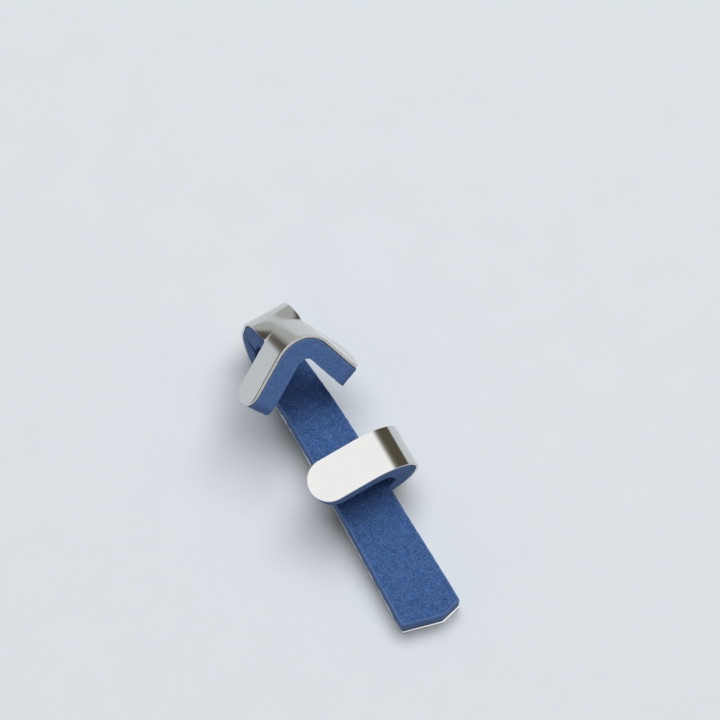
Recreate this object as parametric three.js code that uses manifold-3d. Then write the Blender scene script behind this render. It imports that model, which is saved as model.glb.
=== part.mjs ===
import * as THREE from 'three';
import Module from 'manifold-3d';

// Finger splint lying on its back. Millimetres, +Z up, fingertip end towards +Y.
// Every sheet is one flat blank, bent along a path and thickened to one side.

// Strip, its metal and its lining
const METAL_THICKNESS = 0.8;
const FOAM_THICKNESS = 6.0;
const LINING_CLEARANCE = 0.3;
const FOAM_CREASE_DEPTH = 2.6;
const FOAM_CREASE_WIDTH = 3.0;
const FOAM_SIDE_INSET = 0.2;
const FOAM_END_INSET = 0.5;
const STRIP_END_WIDTH = 18.0;
const STRIP_STEM_WIDTH = 12.7;
const TAPER_START = 8.0;
const TAPER_END = 100.0;

// Bends of the strip, from the open end to the fingertip bar
const LIMB_LENGTH = 58.3;
const DROP_LENGTH = 24.7;
const DROP_ANGLE = 24.4;
const DROP_TWIST = -0.2;
const RUN_LENGTH = 3.5;
const HOOK_LENGTH = 23.6;
const HOOK_ANGLE = 117.4;
const HOOK_TWIST = 4.0;
const RISE_LENGTH = 6.4;
const CROWN_LENGTH = 7.4;
const CROWN_ANGLE = 39.2;
const STEM_LENGTH = 9.2;
const STEM_TWIST = -4.7;
const BAR_WIDTH = 10.8;

// Cut of the open end: a low point a little right of the middle
const END_POINT_OFFSET = 2.9;
const END_LEFT_CUT = 3.0;
const END_RIGHT_CUT = 1.7;
const END_ZONE = 7.0;

// Fingertip bar, folded over the stem
const LEFT_FOLD_RADIUS = 10.5;
const LEFT_FOLD_ANGLE = 41.3;
const RIGHT_FOLD_RADIUS = 8.3;
const RIGHT_FOLD_ANGLE = 61.6;
const RIGHT_FOLD_AT_BACK = 0.9;
const LEFT_WING_LENGTH = 18.2;
const RIGHT_WING_LENGTH = 17.5;
const WING_CORNER_RADIUS = 4.4;
const FOAM_CORNER_RADIUS = 3.2;
const INNER_CORNER_RADIUS = 1.2;

// Band across the limb
const BAND_METAL_THICKNESS = 0.8;
const BAND_FOAM_THICKNESS = 5.0;
const BAND_WIDTH = 12.7;
const BAND_START = 41.3;
const BAND_BASE_LENGTH = 8.2;
const BAND_CORNER_RADIUS = 5.0;
const BAND_CORNER_ANGLE = 28.7;
const BAND_LOOP_RADIUS = 13.2;
const BAND_LOOP_ANGLE = 159.9;
const BAND_TOP_LENGTH = 17.5;
const BAND_CLEARANCE = 0.3;
const BAND_FOAM_END_INSET = 0.5;
const BAND_END_ZONE = 1.5;
const BAND_HEEL_ANGLE = 45.0;

// Rivet through the band's base and the strip, set inside a recess of the lining
const RIVET_SHANK_RADIUS = 1.2;
const RIVET_HEAD_RADIUS = 2.2;
const RIVET_HEAD_HEIGHT = 0.8;
const RIVET_SET_RADIUS = 1.9;
const RIVET_SET_HEIGHT = 0.5;
const RIVET_CLEARANCE = 0.3;

// Rest pose on a table
const REST_PITCH = 4.9;
const REST_ROLL = -0.5;

// Mesh fineness
const ARC_STEP = 1.4;
const CORE_COLUMNS = 8;
const WING_COLUMNS = 7;
const PATH_STEP = 0.05;

const radians = THREE.MathUtils.degToRad;

// Path of the strip as straight and curved runs
const STRIP_RUNS = [
  { name: 'limb', length: LIMB_LENGTH, turn: 0, twist: 0 },
  { name: 'drop', length: DROP_LENGTH, turn: -DROP_ANGLE, twist: DROP_TWIST },
  { name: 'run', length: RUN_LENGTH, turn: 0, twist: 0 },
  { name: 'hook', length: HOOK_LENGTH, turn: HOOK_ANGLE, twist: HOOK_TWIST },
  { name: 'rise', length: RISE_LENGTH, turn: 0, twist: 0 },
  { name: 'crown', length: CROWN_LENGTH, turn: CROWN_ANGLE, twist: 0 },
  { name: 'stem', length: STEM_LENGTH, turn: 0, twist: STEM_TWIST },
  { name: 'bar', length: BAR_WIDTH, turn: 0, twist: 0 },
];

function runEnd(name) {
  let end = 0;
  for (const run of STRIP_RUNS) {
    end += run.length;
    if (run.name === name) return end;
  }
  throw new Error(`no run called ${name}`);
}

const CROWN_END = runEnd('crown');
const BAR_START = runEnd('stem');

// Walks the runs in small steps and keeps the frame at each step
function tracePath(runs) {
  const point = new THREE.Vector3(0, 0, 0);
  const along = new THREE.Vector3(0, 1, 0);
  const across = new THREE.Vector3(1, 0, 0);
  const up = new THREE.Vector3(0, 0, 1);
  const frames = [];
  const keep = (s) => frames.push({
    s, point: point.clone(), along: along.clone(), across: across.clone(), up: up.clone(),
  });
  let s = 0;
  keep(s);
  for (const run of runs) {
    const steps = Math.max(1, Math.round(run.length / PATH_STEP));
    const stride = run.length / steps;
    const halfTurn = radians(run.turn) / steps / 2;
    const twist = radians(run.twist) / steps;
    for (let i = 0; i < steps; i += 1) {
      along.applyAxisAngle(across, halfTurn);
      up.applyAxisAngle(across, halfTurn);
      point.addScaledVector(along, stride);
      along.applyAxisAngle(across, halfTurn);
      up.applyAxisAngle(across, halfTurn);
      across.applyAxisAngle(along, twist);
      up.applyAxisAngle(along, twist);
      s += stride;
      keep(s);
    }
  }
  return frames;
}

const FRAMES = tracePath(STRIP_RUNS);

function frameAt(s) {
  const bounded = THREE.MathUtils.clamp(s, 0, FRAMES[FRAMES.length - 1].s);
  let low = 0;
  let high = FRAMES.length - 1;
  while (high - low > 1) {
    const middle = (low + high) >> 1;
    if (FRAMES[middle].s <= bounded) low = middle; else high = middle;
  }
  const a = FRAMES[low];
  const b = FRAMES[high];
  const t = b.s > a.s ? (bounded - a.s) / (b.s - a.s) : 0;
  return {
    point: a.point.clone().lerp(b.point, t),
    across: a.across.clone().lerp(b.across, t).normalize(),
    up: a.up.clone().lerp(b.up, t).normalize(),
  };
}

// Share of the bar's fold that a station of the strip has, left and right
function foldShare(s, side) {
  const grown = THREE.MathUtils.smoothstep(s, CROWN_END, BAR_START);
  const atBack = side < 0 ? 1 : RIGHT_FOLD_AT_BACK;
  const onBar = THREE.MathUtils.clamp((s - BAR_START) / BAR_WIDTH, 0, 1);
  return grown * THREE.MathUtils.lerp(atBack, 1, onBar);
}

// Maps a point of the flat strip blank into space, offset towards the finger
function placeOnStrip(s, q, offset) {
  const frame = frameAt(s);
  const share = foldShare(s, Math.sign(q));
  const fold = q < 0 ? LEFT_FOLD_RADIUS : RIGHT_FOLD_RADIUS;
  const reach = fold * radians(q < 0 ? LEFT_FOLD_ANGLE : RIGHT_FOLD_ANGLE);
  const curved = THREE.MathUtils.clamp(q, -reach, reach);
  const angle = share * curved / fold;
  let sideways = curved;
  let rise = 0;
  if (share > 1e-6) {
    const radius = fold / share;
    sideways = radius * Math.sin(angle);
    rise = radius * (1 - Math.cos(angle));
  }
  sideways += (q - curved) * Math.cos(angle) - offset * Math.sin(angle);
  rise += (q - curved) * Math.sin(angle) + offset * Math.cos(angle);
  return frame.point.clone()
    .addScaledVector(frame.across, sideways)
    .addScaledVector(frame.up, rise);
}

function stripHalfWidth(s) {
  const share = THREE.MathUtils.clamp((s - TAPER_START) / (TAPER_END - TAPER_START), 0, 1);
  const half = THREE.MathUtils.lerp(STRIP_END_WIDTH, STRIP_STEM_WIDTH, share) / 2;
  const into = THREE.MathUtils.clamp(
    (s - BAR_START + INNER_CORNER_RADIUS) / INNER_CORNER_RADIUS, 0, 1);
  return half + INNER_CORNER_RADIUS * (1 - Math.sqrt(1 - into * into));
}

// Height of the end cut over its lowest point, across the strip
function endCut(q) {
  const half = STRIP_END_WIDTH / 2;
  return q < END_POINT_OFFSET
    ? END_LEFT_CUT * (END_POINT_OFFSET - q) / (END_POINT_OFFSET + half)
    : END_RIGHT_CUT * (q - END_POINT_OFFSET) / (half - END_POINT_OFFSET);
}

function spread(from, to, count) {
  return Array.from({ length: count + 1 }, (_, i) => from + (to - from) * i / count);
}

// Flat blank as shared points and triangles, counter-clockwise seen from the finger side
class Blank {
  constructor() {
    this.points = [];
    this.triangles = [];
    this.index = new Map();
  }

  point(s, q) {
    const key = `${Math.round(s * 1e4)},${Math.round(q * 1e4)}`;
    if (!this.index.has(key)) {
      this.index.set(key, this.points.length);
      this.points.push([s, q]);
    }
    return this.index.get(key);
  }

  // Rows run along the path and each row lists its points from left to right
  grid(rows) {
    for (let i = 0; i + 1 < rows.length; i += 1) {
      for (let j = 0; j + 1 < rows[i].length; j += 1) {
        const a = this.point(...rows[i][j]);
        const b = this.point(...rows[i][j + 1]);
        const c = this.point(...rows[i + 1][j + 1]);
        const d = this.point(...rows[i + 1][j]);
        if (a !== b && b !== c && a !== c) this.triangles.push([a, b, c]);
        if (a !== c && c !== d && a !== d) this.triangles.push([a, c, d]);
      }
    }
  }
}

// Thickens a bent blank into one closed solid; each face is an offset for a station
function sheetSolid(blank, place, lower, upper) {
  const count = blank.points.length;
  const positions = [];
  for (const face of [lower, upper]) {
    for (const [s, q] of blank.points) positions.push(...place(s, q, face(s)).toArray());
  }
  const faces = [];
  const edges = new Map();
  for (const [a, b, c] of blank.triangles) {
    faces.push(a + count, b + count, c + count, a, c, b);
    for (const [from, to] of [[a, b], [b, c], [c, a]]) {
      const reverse = `${to},${from}`;
      if (edges.has(reverse)) edges.delete(reverse); else edges.set(`${from},${to}`, [from, to]);
    }
  }
  for (const [from, to] of edges.values()) {
    faces.push(from, to, to + count, from, to + count, from + count);
  }
  const geometry = new THREE.BufferGeometry();
  geometry.setAttribute('position', new THREE.Float32BufferAttribute(positions, 3));
  geometry.setIndex(faces);
  geometry.computeVertexNormals();
  return geometry;
}

// Stations along the strip, close together where it bends
function stripStations() {
  const stations = [END_ZONE];
  let start = 0;
  for (const run of STRIP_RUNS) {
    const end = start + run.length;
    if (run.name === 'bar') break;
    const bends = run.turn !== 0 || run.name === 'stem';
    const from = Math.max(start, END_ZONE);
    const bendSteps = 2 * Math.ceil(run.length / ARC_STEP / 2);
    const steps = bends ? bendSteps : run.name === 'limb' || run.name === 'rise' ? 4 : 1;
    stations.push(...spread(from, end, steps).slice(1));
    start = end;
  }
  const corner = spread(0, 90, 4).map((a) => BAR_START - INNER_CORNER_RADIUS
    + INNER_CORNER_RADIUS * Math.sin(radians(a)));
  return stations.filter((s) => s < corner[0] - 0.3).concat(corner);
}

function stripBlank(sideInset, endInset, cornerRadius) {
  const blank = new Blank();
  const columns = spread(-1, 1, CORE_COLUMNS);
  const core = (s) => columns.map((v) => [s, v * (stripHalfWidth(s) - sideInset)]);
  const half = STRIP_END_WIDTH / 2 - sideInset;
  const across = columns.map((v) => v * half);
  across[across.findIndex((q) => q > END_POINT_OFFSET - 1)] = END_POINT_OFFSET;
  const endRows = spread(0, 1, 3).map((share) => across.map((q, j) => {
    const last = core(END_ZONE)[j];
    const first = endCut(q) + endInset;
    return [THREE.MathUtils.lerp(first, last[0], share), THREE.MathUtils.lerp(q, last[1], share)];
  }));
  blank.grid(endRows);
  blank.grid(stripStations().map(core));

  // The bar: the stem's columns in the middle and a rounded wing on each side
  const barHalf = BAR_WIDTH / 2;
  const middle = BAR_START + barHalf;
  const coreHalf = stripHalfWidth(BAR_START) - sideInset;
  const levels = spread(-1, 1, 4);
  const wingHalf = (q) => {
    const tip = STRIP_STEM_WIDTH / 2 + (q < 0 ? LEFT_WING_LENGTH : RIGHT_WING_LENGTH);
    const past = Math.max(0, Math.abs(q) - (tip - cornerRadius));
    return barHalf - sideInset - cornerRadius
      + Math.sqrt(Math.max(0, cornerRadius * cornerRadius - past * past));
  };
  const wing = (length) => {
    const tip = STRIP_STEM_WIDTH / 2 + length;
    const flat = spread(coreHalf, tip - cornerRadius, WING_COLUMNS - 4);
    const round = spread(0, 90, 4).slice(1).map((a) => tip - cornerRadius
      + (cornerRadius - sideInset) * Math.sin(radians(a)));
    return flat.concat(round);
  };
  const right = wing(RIGHT_WING_LENGTH).slice(1);
  const left = wing(LEFT_WING_LENGTH).slice(1).reverse().map((q) => -q);
  const spots = [...left, ...columns.map((v) => v * coreHalf), ...right];
  const backEdge = BAR_START;
  blank.grid(levels.map((level) => spots.map((q) => {
    const reach = Math.abs(q) > coreHalf ? wingHalf(q) : barHalf;
    const back = Math.abs(q) > coreHalf ? Math.min(barHalf, reach + sideInset) : barHalf;
    const low = level < 0 ? middle + level * back : middle + level * Math.min(reach, barHalf - sideInset);
    return [level === -1 && Math.abs(q) <= coreHalf ? backEdge : low, q];
  })));
  return blank;
}

// Path of the band's outer face in the plane across the strip, from its hidden end round the finger
const BAND_FACE = -(METAL_THICKNESS + BAND_CLEARANCE + BAND_METAL_THICKNESS);
const BAND_BACK = BAND_WIDTH / 2;
const BAND_RUNS = [
  { length: BAND_BACK + BAND_BASE_LENGTH, radius: 0 },
  { length: BAND_CORNER_RADIUS * radians(BAND_CORNER_ANGLE), radius: BAND_CORNER_RADIUS },
  { length: BAND_LOOP_RADIUS * radians(BAND_LOOP_ANGLE), radius: BAND_LOOP_RADIUS },
  { length: BAND_TOP_LENGTH, radius: 0 },
];
const BAND_LOOP_START = BAND_RUNS[0].length + BAND_RUNS[1].length;
const BAND_LOOP_END = BAND_LOOP_START + BAND_RUNS[2].length;
const BAND_END = BAND_LOOP_END + BAND_TOP_LENGTH;
const BAND_MIDDLE = BAND_START + BAND_WIDTH / 2;

// The band is laid across the limb, so its own width runs along the limb
function placeOnBand(t, q, offset) {
  let x = -BAND_BACK;
  let n = BAND_FACE;
  let heading = 0;
  let left = t;
  BAND_RUNS.forEach((run, i) => {
    const length = i === BAND_RUNS.length - 1 ? left : Math.min(left, run.length);
    left -= length;
    if (run.radius === 0) {
      x += length * Math.cos(heading);
      n += length * Math.sin(heading);
    } else {
      const next = heading + length / run.radius;
      x += run.radius * (Math.sin(next) - Math.sin(heading));
      n += run.radius * (Math.cos(heading) - Math.cos(next));
      heading = next;
    }
  });
  return new THREE.Vector3(
    x - offset * Math.sin(heading), BAND_MIDDLE - q, n + offset * Math.cos(heading));
}

function roundedEnd(apex, radius, q, inward) {
  return apex + inward * (radius - Math.sqrt(Math.max(0, radius * radius - q * q)));
}

function bandBlank(start, end, roundStart, sideInset) {
  const blank = new Blank();
  const half = BAND_WIDTH / 2 - sideInset;
  const columns = spread(-90, 90, CORE_COLUMNS).map((a) => half * Math.sin(radians(a)));
  const row = (t) => columns.map((q) => [t, q]);
  const zone = half + BAND_END_ZONE;
  const from = roundStart ? start + zone : start;
  const bends = [BAND_RUNS[0].length, BAND_LOOP_START, BAND_LOOP_END].filter((t) => t > from);
  const stations = [from];
  for (const t of bends) {
    const last = stations[stations.length - 1];
    const steps = t > BAND_RUNS[0].length ? Math.ceil((t - last) / ARC_STEP) : 1;
    stations.push(...spread(last, t, steps).slice(1));
  }
  stations.push(end - zone);
  if (roundStart) {
    blank.grid(spread(0, 1, 3).map((share) => columns.map((q) => [
      THREE.MathUtils.lerp(roundedEnd(start, half, q, 1), from, share), q])));
  }
  blank.grid(stations.map(row));
  blank.grid(spread(0, 1, 3).map((share) => columns.map((q) => [
    THREE.MathUtils.lerp(end - zone, roundedEnd(end, half, q, -1), share), q])));
  return blank;
}

// Turned solid standing on the limb at the middle of the band
function turned(profile, sides) {
  const geometry = new THREE.LatheGeometry(profile.map(([r, n]) => new THREE.Vector2(r, n)), sides);
  geometry.rotateX(Math.PI / 2);
  geometry.translate(0, BAND_MIDDLE, 0);
  return geometry;
}

function rivetGeometry() {
  const head = BAND_FACE - RIVET_CLEARANCE;
  const dome = spread(0, 90, 4).map((a) => [RIVET_HEAD_RADIUS * Math.sin(radians(a)),
    head - RIVET_HEAD_HEIGHT * Math.cos(radians(a))]);
  return turned([...dome, [RIVET_SHANK_RADIUS, head], [RIVET_SHANK_RADIUS, RIVET_CLEARANCE],
    [RIVET_SET_RADIUS, RIVET_CLEARANCE], [RIVET_SET_RADIUS, RIVET_CLEARANCE + RIVET_SET_HEIGHT],
    [0, RIVET_CLEARANCE + RIVET_SET_HEIGHT]], 20);
}

function post(radius, low, high) {
  return turned([[0, low], [radius, low], [radius, high], [0, high]], 20);
}

// Cuts with the solid modeller
const wasm = await Module();
wasm.setup();
const { Manifold, Mesh } = wasm;

function toSolid(geometry) {
  const position = geometry.getAttribute('position');
  const seen = new Map();
  const vertices = [];
  const lookup = [];
  for (let i = 0; i < position.count; i += 1) {
    const p = [position.getX(i), position.getY(i), position.getZ(i)];
    const key = p.map((v) => Math.round(v * 1e4)).join();
    if (!seen.has(key)) {
      seen.set(key, seen.size);
      vertices.push(...p);
    }
    lookup.push(seen.get(key));
  }
  const corners = [];
  const index = geometry.getIndex().array;
  for (let i = 0; i < index.length; i += 3) {
    const [a, b, c] = [lookup[index[i]], lookup[index[i + 1]], lookup[index[i + 2]]];
    if (a !== b && b !== c && c !== a) corners.push(a, b, c);
  }
  return new Manifold(new Mesh({
    numProp: 3, vertProperties: new Float32Array(vertices), triVerts: new Uint32Array(corners),
  }));
}

function toGeometry(solid) {
  const mesh = solid.getMesh();
  const positions = [];
  for (let i = 0; i < mesh.numVert; i += 1) {
    positions.push(...mesh.vertProperties.subarray(i * mesh.numProp, i * mesh.numProp + 3));
  }
  const geometry = new THREE.BufferGeometry();
  geometry.setAttribute('position', new THREE.Float32BufferAttribute(positions, 3));
  geometry.setIndex([...mesh.triVerts]);
  return geometry;
}

function cut(geometry, tool) {
  return toGeometry(Manifold.difference(toSolid(geometry), toSolid(tool)));
}

// Lining of the band: the loop, and a heel that fills the corner beside the strip up to its lining
function bandFoamGeometry(limbRoom) {
  const low = BAND_METAL_THICKNESS + LINING_CLEARANCE;
  const high = low + BAND_FOAM_THICKNESS;
  const loop = sheetSolid(bandBlank(BAND_LOOP_START, BAND_END - BAND_FOAM_END_INSET, false,
    FOAM_SIDE_INSET), placeOnBand, () => low, () => high);
  const half = BAND_WIDTH / 2 - FOAM_SIDE_INSET;
  const heelEnd = BAND_LOOP_START + BAND_LOOP_RADIUS * radians(BAND_HEEL_ANGLE);
  const heel = [-half, half].flatMap((q) => [
    ...spread(BAND_RUNS[0].length, heelEnd, 12).map((t) => placeOnBand(t, q, low).toArray()),
    placeOnBand(heelEnd, q, high).toArray(),
    [stripHalfWidth(BAND_START) + BAND_CLEARANCE, BAND_MIDDLE - q, LINING_CLEARANCE + FOAM_THICKNESS],
  ]);
  const lining = Manifold.union(toSolid(loop), Manifold.hull(heel));
  return toGeometry(Manifold.difference(lining, toSolid(limbRoom)));
}

function finish(hex, roughness, metalness) {
  return new THREE.MeshStandardMaterial({ color: hex, roughness, metalness });
}

function piece(name, geometry, material) {
  const mesh = new THREE.Mesh(geometry, material);
  mesh.name = name;
  return mesh;
}

const METAL_LOOK = finish(0xc9c8c4, 0.28, 1.0);
const FOAM_LOOK = finish(0x3f62a5, 0.95, 0.0);
const hole = post(RIVET_SHANK_RADIUS + RIVET_CLEARANCE, BAND_FACE - 1, LINING_CLEARANCE / 2);
const recess = post(RIVET_SET_RADIUS + RIVET_CLEARANCE, 0,
  RIVET_CLEARANCE + RIVET_SET_HEIGHT + RIVET_CLEARANCE);
const even = (offset) => () => offset;
const creaseAt = runEnd('hook');
const foamTop = (s) => LINING_CLEARANCE + FOAM_THICKNESS
  - FOAM_CREASE_DEPTH * Math.max(0, 1 - Math.abs(s - creaseAt) / (FOAM_CREASE_WIDTH / 2));
const limbRoom = new THREE.BoxGeometry(2 * stripHalfWidth(BAND_START) + 2 * BAND_CLEARANCE,
  BAND_WIDTH * 2, FOAM_THICKNESS * 2);
limbRoom.translate(0, BAND_MIDDLE, LINING_CLEARANCE + BAND_CLEARANCE);

const splint = new THREE.Group();
splint.name = 'finger_splint';
splint.add(
  piece('strip', cut(sheetSolid(stripBlank(0, 0, WING_CORNER_RADIUS), placeOnStrip,
    even(-METAL_THICKNESS), even(0)), hole), METAL_LOOK.clone()),
  piece('strip_foam', cut(sheetSolid(
    stripBlank(FOAM_SIDE_INSET, FOAM_END_INSET, FOAM_CORNER_RADIUS), placeOnStrip,
    even(LINING_CLEARANCE), foamTop), recess), FOAM_LOOK.clone()),
  piece('band', cut(sheetSolid(bandBlank(0, BAND_END, true, 0), placeOnBand,
    even(0), even(BAND_METAL_THICKNESS)), hole), METAL_LOOK.clone()),
  piece('band_foam', bandFoamGeometry(limbRoom), FOAM_LOOK.clone()),
  piece('rivet', rivetGeometry(), METAL_LOOK.clone()),
);

// Lays the splint down on its back and centres it over the origin
for (const mesh of splint.children) {
  mesh.geometry.rotateX(radians(REST_PITCH));
  mesh.geometry.rotateY(radians(REST_ROLL));
}
const box = new THREE.Box3().setFromObject(splint);
const middle = box.getCenter(new THREE.Vector3());
for (const mesh of splint.children) {
  mesh.geometry.translate(-middle.x, -middle.y, -box.min.z);
  mesh.geometry.computeVertexNormals();
}

export default splint;
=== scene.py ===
"""Foam-lined finger splint on a pale table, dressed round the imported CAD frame.

The classes hold sizes in millimetres, as the part's source does. Meshes are written in metres.
Flat coordinates are s along a sheet and q across it, and an offset towards the finger.
"""
import logging
import math
from dataclasses import dataclass, field
from enum import Enum
from typing import Callable, Sequence

import bpy
import numpy as np
from mathutils import Matrix, Vector, noise


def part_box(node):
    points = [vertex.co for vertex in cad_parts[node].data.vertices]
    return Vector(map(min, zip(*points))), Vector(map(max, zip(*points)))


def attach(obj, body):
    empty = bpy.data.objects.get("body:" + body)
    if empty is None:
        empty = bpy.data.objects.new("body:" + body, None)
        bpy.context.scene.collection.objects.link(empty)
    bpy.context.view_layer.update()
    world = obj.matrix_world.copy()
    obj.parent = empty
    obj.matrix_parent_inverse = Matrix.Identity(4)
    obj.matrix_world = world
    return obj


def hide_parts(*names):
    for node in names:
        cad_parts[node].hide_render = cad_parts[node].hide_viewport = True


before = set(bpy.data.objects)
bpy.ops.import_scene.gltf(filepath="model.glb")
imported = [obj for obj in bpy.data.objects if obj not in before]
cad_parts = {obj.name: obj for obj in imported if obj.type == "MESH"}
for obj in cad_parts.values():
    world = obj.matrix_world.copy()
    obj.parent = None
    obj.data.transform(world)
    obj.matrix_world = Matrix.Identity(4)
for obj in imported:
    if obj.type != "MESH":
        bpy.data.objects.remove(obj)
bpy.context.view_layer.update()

MM = 0.001
SHEET_UV = "sheet"
CUT_FACES = "cut"
RIM = "rim"
# Share of the paler fuzz colour over the middle of the foam's cut faces: partly the real fuzz of cut foam,
# partly painted glow that stands in for light coming through the foam
CUT_FACE_FUZZ_AND_PAINTED_GLOW = 0.55
BODY = "root"
log = logging.getLogger("finger_splint")

Place = Callable[[np.ndarray, np.ndarray, np.ndarray], np.ndarray]
Offset = Callable[[np.ndarray, np.ndarray], np.ndarray]


class Side(Enum):
    """The two wings of the fingertip bar, by the sign of q."""

    LEFT = -1
    RIGHT = 1


def linear(hex_colour: str) -> tuple[float, float, float, float]:
    """Turns an sRGB hex colour into Blender's linear values.

    Args:
        hex_colour: six hex digits after a hash.

    Returns:
        Red, green, blue and an alpha of one.
    """
    parts = [int(hex_colour[i : i + 2], 16) / 255 for i in (1, 3, 5)]
    turned = [c / 12.92 if c <= 0.04045 else ((c + 0.055) / 1.055) ** 2.4 for c in parts]
    return (turned[0], turned[1], turned[2], 1.0)


def add_node(tree: bpy.types.NodeTree, kind: str, links: dict | None = None, **settings) -> bpy.types.Node:
    """Adds one node with its settings and links.

    Args:
        tree: the node tree that gets it.
        kind: the node's type name.
        links: for each input, by name or number, the socket or the value it takes.
        **settings: the node's own properties.

    Returns:
        The new node.
    """
    node = tree.nodes.new(kind)
    for key, value in settings.items():
        setattr(node, key, value)
    for key, value in (links or {}).items():
        if isinstance(value, bpy.types.NodeSocket):
            tree.links.new(value, node.inputs[key])
        else:
            node.inputs[key].default_value = value
    return node


def add_noise(tree: bpy.types.NodeTree, place: bpy.types.NodeSocket, spacing: float, detail: float = 2.0,
              **more: float) -> bpy.types.NodeSocket:
    """Adds noise of a real size.

    Args:
        tree: the node tree that gets it.
        place: the coordinates it follows.
        spacing: millimetres between bumps.
        detail: finer layers over it.
        **more: the node's other inputs.

    Returns:
        The noise's value.
    """
    inputs = {"Vector": place, "Scale": 1 / (spacing * MM), "Detail": detail, **more}
    return add_node(tree, "ShaderNodeTexNoise", inputs).outputs[0]


def add_mix(tree: bpy.types.NodeTree, share: bpy.types.NodeSocket, first: bpy.types.NodeSocket | str,
            second: bpy.types.NodeSocket | str) -> bpy.types.NodeSocket:
    """Mixes two colours, each a socket or an sRGB hex.

    Args:
        tree: the node tree that gets the mix.
        share: how much of the second there is.
        first: colour at a share of nothing.
        second: colour at a share of one.

    Returns:
        The mixed colour.
    """
    ends = [linear(colour) if isinstance(colour, str) else colour for colour in (first, second)]
    return add_node(tree, "ShaderNodeMix", {0: share, 6: ends[0], 7: ends[1]}, data_type="RGBA").outputs[2]


def new_material(name: str, values: dict) -> tuple[bpy.types.Material, bpy.types.NodeTree, bpy.types.Node]:
    """Starts a material.

    Args:
        name: its name.
        values: the shader's uniform values, by input name.

    Returns:
        The material, its node tree and its shader.
    """
    material = bpy.data.materials.new(name)
    material.use_nodes = True
    shader = material.node_tree.nodes["Principled BSDF"]
    for key, value in values.items():
        shader.inputs[key].default_value = value
    return material, material.node_tree, shader


def geometry_tree(name: str, inputs: dict[str, str]) -> bpy.types.NodeTree:
    """Starts a geometry node tree that takes and gives a mesh.

    Args:
        name: its name.
        inputs: socket type of each further input.

    Returns:
        The tree, with its inputs and its output declared.
    """
    tree = bpy.data.node_groups.new(name, "GeometryNodeTree")
    tree.interface.new_socket("Geometry", in_out="INPUT", socket_type="NodeSocketGeometry")
    tree.interface.new_socket("Geometry", in_out="OUTPUT", socket_type="NodeSocketGeometry")
    for label, kind in inputs.items():
        tree.interface.new_socket(label, in_out="INPUT", socket_type=kind)
    return tree


def add_object(name: str, data: bpy.types.ID) -> bpy.types.Object:
    """Puts new data into the scene as an object at the origin.

    Args:
        name: its name.
        data: its mesh, camera or light.

    Returns:
        The new object.
    """
    thing = bpy.data.objects.new(name, data)
    bpy.context.scene.collection.objects.link(thing)
    return thing


def turned_about(vectors: np.ndarray, axis: np.ndarray, angle: float) -> np.ndarray:
    """Turns a vector about a unit axis.

    Args:
        vectors: the vector to turn.
        axis: a unit vector.
        angle: radians, right-handed.

    Returns:
        The turned vector.
    """
    cosine, sine = math.cos(angle), math.sin(angle)
    return vectors * cosine + np.cross(axis, vectors) * sine + axis * np.dot(axis, vectors) * (1 - cosine)


def spread(first: float, last: float, count: int) -> list[float]:
    """Evenly spaced numbers with both ends, count steps in all."""
    return [first + (last - first) * i / count for i in range(count + 1)]


# Finishes


@dataclass(frozen=True)
class RolledAluminium:
    """Soft aluminium strip as it leaves the rolls: satin, with fine lines along its length."""

    name: str = "rolled_aluminium"
    bright: str = "#dcdddc"
    dull: str = "#d1d1cf"
    roughness: tuple[float, float] = (0.09, 0.15)
    # Rolling lines are about 0.03 mm apart; they are drawn 0.25 mm apart so that they show
    line_spacing: float = 0.25
    line_length: float = 9.0
    line_depth: float = 0.0006
    ripple_spacing: float = 7.0
    ripple_depth: float = 0.012

    def build(self) -> bpy.types.Material:
        """Makes the material.

        Returns:
            A metal whose gloss varies along the rolling lines.
        """
        material, tree, shader = new_material(self.name, {"Metallic": 1.0})
        uv = add_node(tree, "ShaderNodeUVMap", uv_map=SHEET_UV)
        drawn = add_node(tree, "ShaderNodeMapping", {
            "Vector": uv.outputs[0], "Scale": (1 / self.line_length, 1 / self.line_spacing, 1.0)})
        lines = add_node(tree, "ShaderNodeTexNoise", {
            "Vector": drawn.outputs[0], "Scale": 1.0, "Detail": 3.0, "Roughness": 0.6})
        place = add_node(tree, "ShaderNodeTexCoord")
        ripple = add_noise(tree, place.outputs["Object"], self.ripple_spacing, 1.0)
        gloss = add_node(tree, "ShaderNodeMapRange", {
            "Value": lines.outputs[0], "From Min": 0.3, "From Max": 0.7,
            "To Min": self.roughness[0], "To Max": self.roughness[1]})
        tone = add_mix(tree, lines.outputs[0], self.bright, self.dull)
        wave = add_node(tree, "ShaderNodeBump", {
            "Height": ripple, "Strength": 1.0, "Distance": self.ripple_depth * MM})
        grain = add_node(tree, "ShaderNodeBump", {
            "Height": lines.outputs[0], "Strength": 1.0, "Distance": self.line_depth * MM,
            "Normal": wave.outputs[0]})
        tree.links.new(tone, shader.inputs["Base Color"])
        tree.links.new(gloss.outputs[0], shader.inputs["Roughness"])
        tree.links.new(grain.outputs[0], shader.inputs["Normal"])
        return material


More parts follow.
